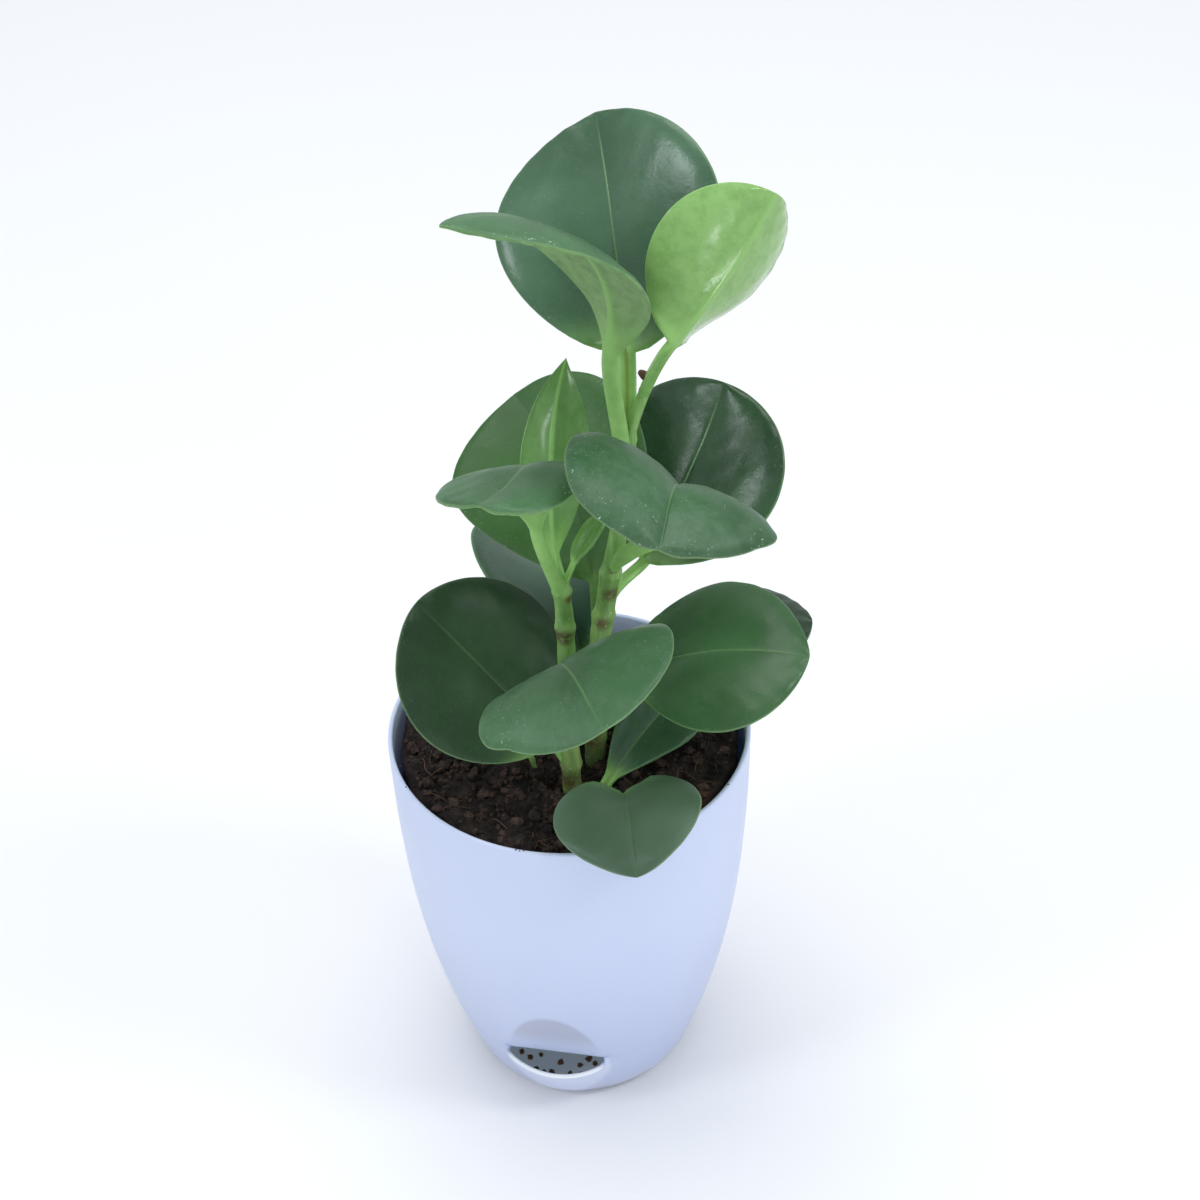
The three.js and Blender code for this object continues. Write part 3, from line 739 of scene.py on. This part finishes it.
stems = {
    "main_stem": {
        "points": ((9.8, -8.6, 112), (9.9, -8.6, 131), (11.2, -8.3, 155), (12.8, -7.9, 180),
                   (15, -7.4, 196), (17, -7, 209), (19.4, -6.6, 222), (21.2, -6.2, 236),
                   (22.7, -5.8, 251), (23.3, -5.8, 258), (26, -6, 267), (29.3, -6.4, 277)),
        "radius": 3.3,
        "tip": 1.5,
        "nodes": (141, 173, 190, 206, 248),
        # brown scars: place and size
        "scars": ((18.5, -9.6, 210, 2.6), (17, -9.5, 200, 3.4), (14.3, -10.7, 189, 3.2),
                  (13.5, -9, 173, 3.4), (22.4, -8.6, 258.5, 1.3), (10.2, -11, 141, 4)),
    },
    "side_stem": {
        "points": ((5.3, -23, 112), (5.3, -23, 131), (5.4, -23, 168), (5.6, -22.9, 192),
                   (5.3, -23, 206), (4.8, -23.1, 216)),
        "radius": 2.9,
        "tip": 2.3,
        "nodes": (142, 162, 197, 211),
        "scars": ((5.5, -25, 195, 4.2), (8, -24.5, 209, 2.4), (5.4, -25, 163, 3), (5.3, -25, 136, 4.5)),
    },
}
stemSteps = 110
stemSides = 20
stemEnd = 0.6          # of the radius, at the last ring
stemWaves = {"size": 9, "height": 0.7}
# swellings round a node of a stem: height and reach
swellings = ((0.45, 2.5), (0.25, 0.7))


# a smooth line through points, at a share of its way
def linePoint(points, share):
    last = len(points) - 1
    span = min(last - 1, int(share * last))
    local = share * last - span
    near = (Vector(points[min(last, max(0, span + shift))]) for shift in (-1, 0, 1, 2))
    return cubic(*near, local)


def stemCentre(stem, height):
    for share in spacing(0, 1, 400):
        point = linePoint(stem["points"], share)
        if point.z >= height:
            return point
    return point


def stemRadius(stem, share, height):
    radius = mixed(stem["radius"], stem["tip"], share ** 2)
    for node in stem["nodes"]:
        radius += sum(swell * math.exp(-((height - node) / reach) ** 2) for swell, reach in swellings)
    return radius


def addStem(name, title):
    stem = stems[name]
    centres = [linePoint(stem["points"], share) for share in spacing(0, 1, stemSteps)]
    radii = [stemRadius(stem, step / stemSteps, centre.z) for step, centre in enumerate(centres)]
    radii[-1] *= stemEnd
    piece = growBar(title, centres, radii, stemSides)
    applyModifier(piece, "DISPLACE", texture=cloudsOf(title + "Waves", stemWaves["size"]),
                  strength=stemWaves["height"] * mm, texture_coords="LOCAL")
    foot, height = stem["points"][0][2], stem["points"][-1][2] - stem["points"][0][2]

    def scarAt(spot):
        nearest = max(1 - (spot - Vector(mark[:3])).length / mark[3] for mark in stem["scars"])
        return min(1, 1.8 * max(0, nearest))

    setMarks(piece, {"scar": scarAt, "rise": lambda spot: (spot.z - foot) / height})
    finishPiece(piece, stemSkin, [name])


addStem("main_stem", "mainStem")
addStem("side_stem", "sideStem")
print("stems")


# ---- leaves ----

leaves = {
    "leaf_top_back": dict(base=(22, 0.5, 281), heading=112, pitch=73, bend=39, sweep=-2, roll=21, twist=10,
        length=69, width=68, fold=13, curl=-12, taper=0.66, point=0.64, stalkRadius=2.45, height=250, rise=0,
        skin="topLeaf"),
    "leaf_top_left": dict(base=(20.5, -14, 290.5), heading=-139, pitch=101, bend=96, sweep=-1, roll=-16,
        twist=-2, length=87, width=48, fold=-4, curl=-10, curlLeft=-16, taper=0.9, point=0.93, lean=-0.08,
        bendTo=0.93, stalkRadius=2.7, height=244, skin="dustyLeaf"),
    "leaf_top_right": dict(base=(37, -12, 294), heading=31, pitch=44, bend=-4, sweep=24, roll=87, twist=12,
        length=50, width=53, fold=5, curl=45, curlLeft=43, taper=0.56, point=0.48, lean=-0.08,
        stalkRadius=1.8, height=270, flare=0.05, skin="youngLeaf"),
    "leaf_middle_back": dict(base=(10, 0.5, 196), heading=123, pitch=68, bend=52, sweep=14, roll=22, twist=4,
        length=64, width=61, fold=12, curl=-6, taper=0.76, point=0.55, lean=-0.08, height=173,
        skin="softLeaf"),
    "leaf_lower_back": dict(base=(7, 0.5, 158), heading=121, pitch=33, bend=71, sweep=-24, roll=14, twist=-10,
        length=65, width=65, fold=25, curl=26, taper=0.76, point=0.47, height=145, skin="shadedLeaf"),
    "leaf_middle_left": dict(base=(0.5, -31.5, 240), heading=-70, pitch=118, bend=106, sweep=-43, roll=-8,
        twist=-4, length=62, width=41, fold=3, foldLeft=12, curl=-22, curlLeft=-44, taper=0.87, point=0.41,
        lean=0.09, bendTo=0.63, stem="side_stem", height=207, rise=0, skin="dustyLeaf"),
    "leaf_middle_front": dict(base=(42.5, -32, 248.5), heading=-86, pitch=92, bend=108, sweep=-5, roll=26,
        twist=-7, length=54, width=64, fold=22, curl=-46, taper=0.69, point=0.53, bendTo=0.82,
        stalkRadius=2.6, height=204, rise=1.1, flare=0, sheath=17, skin="broadLeaf"),
    "leaf_middle_right": dict(base=(24.5, 5, 202), heading=49, pitch=48, bend=-6, sweep=17, roll=-4, twist=4,
        length=59, width=61, fold=7, curl=-21, taper=0.57, height=194, rise=1.2, skin="glossyLeaf"),
    "leaf_lower_front": dict(base=(4, -35.5, 178), heading=-65, pitch=99, bend=112, sweep=12, roll=-11,
        twist=-15, length=59, width=65, fold=0, curl=-23, taper=0.66, point=0.6, bendTo=0.77,
        stem="side_stem", height=162, skin="dustyLeaf"),
    "leaf_lower_left": dict(base=(-0.5, -23, 150.5), heading=173, pitch=50, bend=6, sweep=-4, roll=27,
        twist=-5, length=61, width=58, fold=7, curl=-18, taper=0.59, point=0.58, stem="side_stem", height=141,
        skin="deepLeaf"),
    "leaf_lower_right": dict(base=(23.5, -1, 163), heading=-12, pitch=43, bend=56, sweep=19, roll=-20,
        twist=2, length=57, width=54, fold=1, curl=-17, taper=0.62, point=0.62, height=148, skin="freshLeaf"),
    "leaf_rear_right": dict(base=(21, 11, 157.5), heading=13, pitch=36, bend=44, sweep=-6, roll=4, twist=8,
        length=57, width=50, fold=-2, curl=-6, taper=0.66, height=139, skin="deepLeaf"),
    "leaf_over_rim": dict(base=(22, -26.5, 133.5), heading=-75, pitch=48, bend=83, sweep=3, roll=1, twist=-14,
        length=44, width=46, fold=17, curl=-24, taper=0.7, point=0.8, root=(21, -23, 116), skin="paleLeaf"),
    "leaf_at_soil": dict(base=(16, -19.5, 132.5), heading=62, pitch=25, bend=22, sweep=1, roll=-28, twist=-12,
        length=45, width=26, fold=9, curl=8, taper=0.95, point=0.54, root=(13, -24, 118), skin="topLeaf"),
    "leaf_folded": dict(base=(2.5, -20.5, 223), heading=-73, pitch=109, bend=-39, sweep=-26, roll=-15,
        twist=8, length=58, width=22, fold=26, foldLeft=32, curl=-21, taper=0.75, point=1.11, lean=-0.17,
        stem="side_stem", height=211, ribHeight=0.12, skin="slimLeaf"),
    "leaf_bud": dict(base=(9, -24, 222.5), heading=46, pitch=61, bend=27, sweep=-3, roll=10, twist=0,
        length=17, width=9, fold=16, curl=-2, taper=0.62, stalkRadius=1.1, stem="side_stem", height=210,
        skin="slimLeaf"),
}
# what is the same for all leaves, and what a leaf has unless it says otherwise
blade = {
    "stalkSteps": 16,
    "steps": 46,
    "courseSteps": 40,     # of the sum that gives the midrib's place
    "halfRow": 14,         # steps from the midrib to the margin
    "byRib": [0, 0.45, 0.95, 1.7],     # the first and last of them, from the rib and the margin
    "byMargin": [0.55, 0.16, 0],
    "roundWidth": (3, 9),  # half-widths at which a leaf's section goes over from round to flat
    "stalkRadius": 1.9,
    "flatTop": 0.58,       # a stalk is flatter above
    "thickness": 0.95,
    "point": 0.5,          # a round tip; more makes a pointed one
    "lean": 0,
    "bendTo": 1,           # share of the blade by which it has bent
    "stem": "main_stem",
    "rise": 0.3,           # a stalk leaves its stem a little upwards
    "reach": 0.38,         # of its curve, at the stem and at the blade
    "endReach": 0.15,
    "channel": 35,
    "channelShare": 0.18,
    "fullFoldWidth": 8,
    "ribHeight": 0.75,     # the raised rib below
    "ribReach": 1.5,
    "groove": 0.3,
    "grooveReach": 0.9,
    "edgeRound": 0.5,
    "ripple": 0.55,        # slow waves of the blade
    "ripplePitch": (3.1, 2.2, 3.7),    # along it, across it and from leaf to leaf
    "ridge": 0.1,          # between the side veins
    "ridgePitch": 34,
    "veinSlant": 0.022,
    "edgeDip": 0.5,
    "sheath": 4,           # a stalk is thin in its stem and wide where it leaves it
    "thinStart": 0.3,
    "flare": 0.4,
    "flareReach": 4.5,
    "stalkEnd": 0.22,      # share of the blade over which the stalk fades out
}


# integrals of cosine and sine of an angle that turns steadily from start
def turning(start, turn, share):
    if abs(turn) < 1e-6:
        return share * math.cos(start), share * math.sin(start)
    end = start + turn * share
    return (math.sin(end) - math.sin(start)) / turn, (math.cos(start) - math.cos(end)) / turn


# direction of the midrib at a share of the blade
def midribCourse(leaf, share):
    heading = math.radians(leaf["heading"] + leaf["sweep"] * share)
    pitch = math.radians(leaf["pitch"] - leaf["bend"] * min(1, share / leaf["bendTo"]))
    return Vector((math.cos(pitch) * math.cos(heading), math.cos(pitch) * math.sin(heading), math.sin(pitch)))


# the midrib's place, forward, side and upward directions at a share of the blade
def midribFrame(leaf, share):
    steps = blade["courseSteps"]
    point = Vector(leaf["base"])
    for step in range(steps):
        point += midribCourse(leaf, share * (step + 0.5) / steps) * (leaf["length"] * share / steps)
    forward = midribCourse(leaf, share)
    heading = math.radians(leaf["heading"] + leaf["sweep"] * share)
    level = Vector((math.sin(heading), -math.cos(heading), 0))
    roll = math.radians(leaf["roll"] + leaf["twist"] * share)
    side = Matrix.Rotation(-roll, 3, forward) @ level
    return point, forward, side, side.cross(forward)


def bladeHalfWidth(leaf, share):
    taper, tip = leaf["taper"], leaf["point"]
    widest = (1 / (1 + 2 * tip)) ** (1 / (2 * taper))

    def outline(x):
        return x ** taper * max(0, 1 - x ** (2 * taper)) ** tip

    round = 0.5 * leaf["width"] * outline(share) / outline(widest)
    return math.hypot(round, leaf["stalkRadius"] * (1 - share) ** 2)


# rows of the leaf from the stalk's root to the tip: frame, half-width, channel, spread, stalk
# share, along
def leafRows(leaf):
    radius = leaf["stalkRadius"]
    foot = midribFrame(leaf, 0)
    base = foot[0]
    start = Vector(leaf["root"]) if "root" in leaf else stemCentre(stems[leaf["stem"]], leaf["height"])
    distance = (base - start).length
    leave = Vector((0, 0, 1))
    if "root" not in leaf:
        leave = (leave * leaf["rise"] + (base - start).normalized()).normalized()
    first = start + leave * (blade["reach"] * distance)
    second = base - foot[1] * (blade["endReach"] * distance)
    rows = []
    for step in range(blade["stalkSteps"]):
        t = step / blade["stalkSteps"]
        point = (start * (1 - t) ** 3 + first * 3 * t * (1 - t) ** 2
                 + second * 3 * t * t * (1 - t) + base * t ** 3)
        ahead = ((first - start) * (1 - t) ** 2 + (second - first) * 2 * t * (1 - t)
                 + (base - second) * t * t).normalized()
        side = (foot[2] - ahead * foot[2].dot(ahead)).normalized()
        away = (point - start).length
        flare = 1 + leaf["flare"] * math.exp(-(away / blade["flareReach"]) ** 2)
        flare = mixed(blade["thinStart"], flare, smooth(0, leaf["sheath"], away))
        rows.append(((point, ahead, side, side.cross(ahead)), radius * flare if step else 0, 0, 0, 1, 0))
    for step in range(blade["steps"] + 1):
        share = math.sin(math.pi / 2 * step / blade["steps"])
        width = bladeHalfWidth(leaf, share) if step < blade["steps"] else 0
        channel = blade["channel"] * math.exp(-share / blade["channelShare"])
        spread = min(1, max(0, (width - radius) / blade["fullFoldWidth"]))
        stalkShare = max(0, 1 - share / blade["stalkEnd"]) ** 2
        rows.append((midribFrame(leaf, share), width, channel, spread, stalkShare, share))
    return rows


# distance from the midrib of each step across a half blade
def acrossSteps(width):
    count = blade["halfRow"]
    round = [width * math.sin(math.pi / 2 * step / count) for step in range(count + 1)]
    if width < blade["roundWidth"][0]:
        return round
    near, far = blade["byRib"], [width - space for space in blade["byMargin"]]
    between = count - len(near) - len(far) + 1
    flat = near + [mixed(near[-1], far[0], (step + 1) / (between + 1)) for step in range(between)] + far
    share = smooth(*blade["roundWidth"], width)
    return [mixed(a, b, share) for a, b in zip(round, flat)]


# a leaf's blade rolls and bends freely, so its points are set out row by row
def addLeaf(name, leaf, seed):
    rows = leafRows(leaf)
    steps = [acrossSteps(row[1]) for row in rows]
    half = blade["halfRow"]
    radius = leaf["stalkRadius"]

    def place(column, row):
        (point, _, side, up), width, channel, spread, stalkShare, along = rows[column]
        top = row <= 2 * half
        index = row - half if top else 3 * half - row     # -half to half across
        hand = 1 if index >= 0 else -1
        away = steps[column][abs(index)]
        across = away / width if width else 0
        fold, curl = leaf["fold"], leaf["curl"]
        if hand < 0:
            fold, curl = leaf.get("foldLeft", fold), leaf.get("curlLeft", curl)
        fold = math.radians(fold + channel) * spread
        curl = math.radians(curl) * (1 - stalkShare)
        reach = turning(fold, curl, across)
        slope = hand * (fold + curl * across)
        room = width * (1 + leaf["lean"] * hand * (1 - stalkShare))
        spot = point + side * (room * hand * reach[0]) + up * (room * reach[1])
        outward = up * math.cos(slope) - side * math.sin(slope)
        margin = width - away
        rim = math.sqrt(max(0, 1 - max(0, 1 - margin / blade["edgeRound"]) ** 2))
        round = min(radius, width) * math.sqrt(max(0, 1 - across * across))
        body = blade["thickness"] / 2 * rim
        if top:
            raised = mixed(body, blade["flatTop"] * round, stalkShare)
            groove = blade["groove"] * math.exp(-(away / blade["grooveReach"]) ** 2)
            raised -= groove * (1 - along) ** 0.6 * rim
        else:
            rib = leaf["ribHeight"] * math.exp(-(away / blade["ribReach"]) ** 2)
            rib *= (1 - along) ** 0.8
            raised = -mixed(body + rib * rim, round, stalkShare)
        # gentle ridges between the side veins, and a wandering margin
        free = (1 - stalkShare) * smooth(0, 6, width)
        course = along - blade["veinSlant"] * away
        ripple = blade["ridge"] * math.sin(blade["ridgePitch"] * course + seed) * smooth(1, 8, away)
        ways = zip((along, hand * across, seed), blade["ripplePitch"])
        ripple += blade["ripple"] * noise.noise(Vector([way * pitch for way, pitch in ways]))
        ripple -= blade["edgeDip"] * smooth(0.9, 1, across) * smooth(0.1, 0.3, along)
        if width == 0 and along > 0.5:
            raised = 0
        spot = spot + outward * (raised + ripple * free)
        return spot, (away, margin, along, 1.0 if top else 0.0, stalkShare)

    words = name.split("_")
    title = words[0] + "".join(word.title() for word in words[1:])
    piece = shapeGrid(title, len(rows) - 1, 4 * half, place, ("rib", "margin", "along", "upper", "stalk"))
    finishPiece(piece, leafSkins[leaf["skin"]], [name])


for number, (name, leaf) in enumerate(leaves.items()):
    addLeaf(name, blade | leaf, number + 1)
print("leaves")


# ---- soil ----

soil = {
    "level": 131,
    "wave": 1.1,
    "hollow": (15, -20, 2.5, 7),
    "radius": 53.4,
    "depth": 8,
    "sides": 200,
    "ringWidth": 0.9,
    "clods": 260,
    "crumbs": 1500,
    "grains": 2200,
    "fibres": 60,
    "fibreLength": (3, 9),
    "lumps": ((1.6, 0.16), (1.2, 0.45), (0.8, 1.1)),       # height and pitch
    "edge": (3, 1.2),      # width and depth of the dip along the pot
}


def soilTop(x, y):
    waves = math.sin(0.21 * x + 0.8) * math.cos(0.17 * y - 0.4) + 0.6 * math.sin(0.33 * (x + y))
    hollowX, hollowY, depth, reach = soil["hollow"]
    dip = depth * math.exp(-(((x - hollowX) ** 2 + (y - hollowY) ** 2) / reach ** 2))
    return soil["level"] + soil["wave"] * waves - dip


def addSoil():
    foot = Vector((0, 0, soil["level"] - soil["depth"]))
    piece = startCircle("soilBed", soil["sides"], soil["radius"], foot)
    bpy.ops.mesh.extrude_region_move(TRANSFORM_OT_translate={"value": (0, 0, soil["depth"] * mm)})
    for ring in range(int(soil["radius"] / soil["ringWidth"]) - 1):
        bpy.ops.mesh.inset(thickness=soil["ringWidth"] * mm)
    leaveEdit()
    # waves, lumps and grains of the surface
    low = (foot.z + 1) * mm
    edgeWidth, edgeDepth = soil["edge"]
    for vertex in piece.data.vertices:
        if vertex.co.z > low:
            x, y = vertex.co.x / mm, vertex.co.y / mm
            spot = Vector((x, y, 0))
            lumps = sum(height * noise.noise(spot * pitch) for height, pitch in soil["lumps"])
            dip = edgeDepth * smooth(soil["radius"] - edgeWidth, soil["radius"], spot.length)
            vertex.co.z = (soilTop(x, y) + lumps - dip) * mm
    bpy.ops.object.shade_smooth()
    return piece


def crumbModel(subdivisions, seed, flat):
    deselect()
    bpy.ops.mesh.primitive_ico_sphere_add(subdivisions=subdivisions, radius=mm)
    model = bpy.context.object
    editAll()
    bpy.ops.transform.vertex_random(offset=0.34 * mm, uniform=0.4, seed=seed)
    bpy.ops.transform.resize(value=(1, 0.8, flat), center_override=(0, 0, 0))
    setMode("OBJECT")
    return model


# a fibre of coir: a thin bevelled path, 1 mm long
def fibreModel(seed):
    picker = random.Random(seed)
    deselect()
    bpy.ops.curve.primitive_nurbs_path_add()
    fibre = bpy.context.object
    points = fibre.data.splines[0].points
    for number, point in enumerate(points):
        bend = picker.uniform(-0.16, 0.16), picker.uniform(-0.08, 0.08)
        point.co = ((number / (len(points) - 1) - 0.5) * mm, bend[0] * mm, bend[1] * mm, 1)
    fibre.data.resolution_u = 3
    fibre.data.bevel_depth = 0.02 * mm
    fibre.data.bevel_resolution = 0
    fibre.data.use_fill_caps = True
    bpy.ops.object.convert(target="MESH")
    return bpy.context.object


def onSoil(picker):
    radius = soil["radius"] * math.sqrt(picker.uniform(0.0, 0.97)) - 0.8
    angle = picker.uniform(0, 2 * math.pi)
    return radius * math.cos(angle), radius * math.sin(angle)


def turned(picker, flat=False):
    turn = Matrix.Rotation(picker.uniform(0, 6.28), 4, "Z")
    if not flat:
        turn = turn @ Matrix.Rotation(picker.uniform(-0.8, 0.8), 4, "X")
    return turn @ Matrix.Rotation(picker.uniform(-0.35, 0.35), 4, "Y")


def addCrumbs():
    picker = random.Random(11)
    models = [crumbModel(2, seed, 0.7) for seed in (1, 2)] + [crumbModel(1, seed, 0.6) for seed in (3, 4, 5)]
    sizes = {"clods": (1.1, 2.4), "crumbs": (0.4, 1.1), "grains": (0.2, 0.45)}
    placings = []
    for kind, (smallest, largest) in sizes.items():
        for _ in range(soil[kind]):
            x, y = onSoil(picker)
            size = picker.uniform(smallest, largest)
            which = picker.randrange(2) if kind == "clods" else 2 + picker.randrange(3)
            place = x, y, soilTop(x, y) + 0.25 * size + picker.uniform(-0.3, 0.8)
            placings.append(placing(which, place, turned(picker), size))
    return scatter("soilCrumbs", models, placings)


def addFibres():
    picker = random.Random(23)
    models = [fibreModel(seed) for seed in (3, 5, 8, 13)]
    placings = []
    for _ in range(soil["fibres"]):
        x, y = onSoil(picker)
        size = picker.uniform(*soil["fibreLength"])
        inward = 1 - max(0, math.hypot(x, y) + size / 2 - 52) / 52
        place = x * inward, y * inward, soilTop(x, y) + 0.9 + picker.uniform(0, 0.8)
        placings.append(placing(picker.randrange(4), place, turned(picker, True), size))
    return scatter("coirFibres", models, placings)


# places and sizes of single crumbs: in the pouch, and on the rim and by the leaf at the left
mouthCrumbs = (
    (-16.9, -22.9, 3.4, 1.08), (-10.2, -23.2, 3.3, 0.86), (-2.8, -25.6, 3.6, 1.22), (3.9, -25.8, 3.5, 1.01),
    (8.8, -24.2, 3.4, 1.08), (-10.6, -29.5, 3.4, 1.01), (-4.9, -30.4, 3.6, 1.22), (1.2, -29.8, 3.5, 0.94),
    (-13.6, -25.1, 3.6, 1.15), (6.4, -22.7, 3.5, 1.22), (-7.6, -31, 3.5, 1.08), (4.6, -29.4, 3.4, 0.86),
)
looseCrumbs = (
    (-5.3, -56.6, 135.6, 0.35), (-4.1, -56.9, 135.6, 0.3), (-2.9, -56.7, 135.6, 0.25),
    (53.7, -18.6, 135.6, 0.35), (-48.6, -26, 135.4, 0.4), (-44.7, -35, 135.5, 0.35),
    (-26.4, -14.8, 133.2, 1.2), (-23.5, -16.7, 133, 1.5), (-21.6, -15, 133.4, 1.1),
    (-23.7, -18.5, 132.8, 1.3),
)


def addSingleCrumbs(title, crumbs, seed, subdivisions=1):
    picker = random.Random(seed)
    models = [crumbModel(subdivisions, number, 0.7) for number in (7, 9)]
    placings = [placing(number % 2, crumb[:3], turned(picker), crumb[3])
                for number, crumb in enumerate(crumbs)]
    return scatter(title, models, placings)


finishPiece(addSoil(), earth, ["soil"])
finishPiece(addCrumbs(), crumbEarth)
finishPiece(addFibres(), drySkin)
finishPiece(addSingleCrumbs("looseCrumbs", looseCrumbs, 31), crumbEarth)
finishPiece(addSingleCrumbs("mouthCrumbs", mouthCrumbs, 37, 2), brownEarth)
print("soil")


# ---- dry scale at the top fork ----

# place, length, width and thickness, and the turns about Y and Z
scale = {"place": (28.9, -8.6, 279.9), "size": (2.6, 0.9, 1.6), "turns": (-32, 12)}


def addScale():
    deselect()
    bpy.ops.mesh.primitive_uv_sphere_add(segments=20, ring_count=10, radius=mm)
    piece = named("dryScale")
    editAll()
    bpy.ops.transform.resize(value=scale["size"], center_override=(0, 0, 0))
    bpy.ops.transform.vertex_random(offset=0.12 * mm, seed=4)
    for axis, turn in zip("YZ", scale["turns"]):
        bpy.ops.transform.rotate(value=math.radians(turn), orient_axis=axis, center_override=(0, 0, 0))
    bpy.ops.transform.translate(value=Vector(scale["place"]) * mm)
    setMode("OBJECT")
    bpy.ops.object.shade_smooth()
    finishPiece(piece, drySkin)


addScale()
print("dry scale")


# ---- sprout ----

sprout = {
    "points": ((-7.9, -16.3, 121), (-7.9, -16.3, 130), (-8.3, -16.6, 134), (-9, -17, 138)),
    "radius": 1.0,
    "tip": 0.5,
    "end": 0.15,
    "swell": (0.35, 0.8, 0.12),        # height, place and width of the swelling below the tip
    "steps": 24,
    "sides": 12,
}


def addSprout():
    height, middle, width = sprout["swell"]
    shares = spacing(0, 1, sprout["steps"])
    centres = [linePoint(sprout["points"], share) for share in shares]
    radii = []
    for share in shares:
        swell = height * math.exp(-((share - middle) / width) ** 2)
        radii.append(mixed(sprout["radius"], sprout["tip"], share) + swell)
    radii[-1] = sprout["end"]
    piece = growBar("soilSprout", centres, radii, sprout["sides"])
    setMarks(piece, {"scar": lambda spot: 0, "rise": lambda spot: 1})
    finishPiece(piece, stemSkin, ["sprout"])


addSprout()
print("sprout")


# ---- last update ----

bpy.context.view_layer.update()
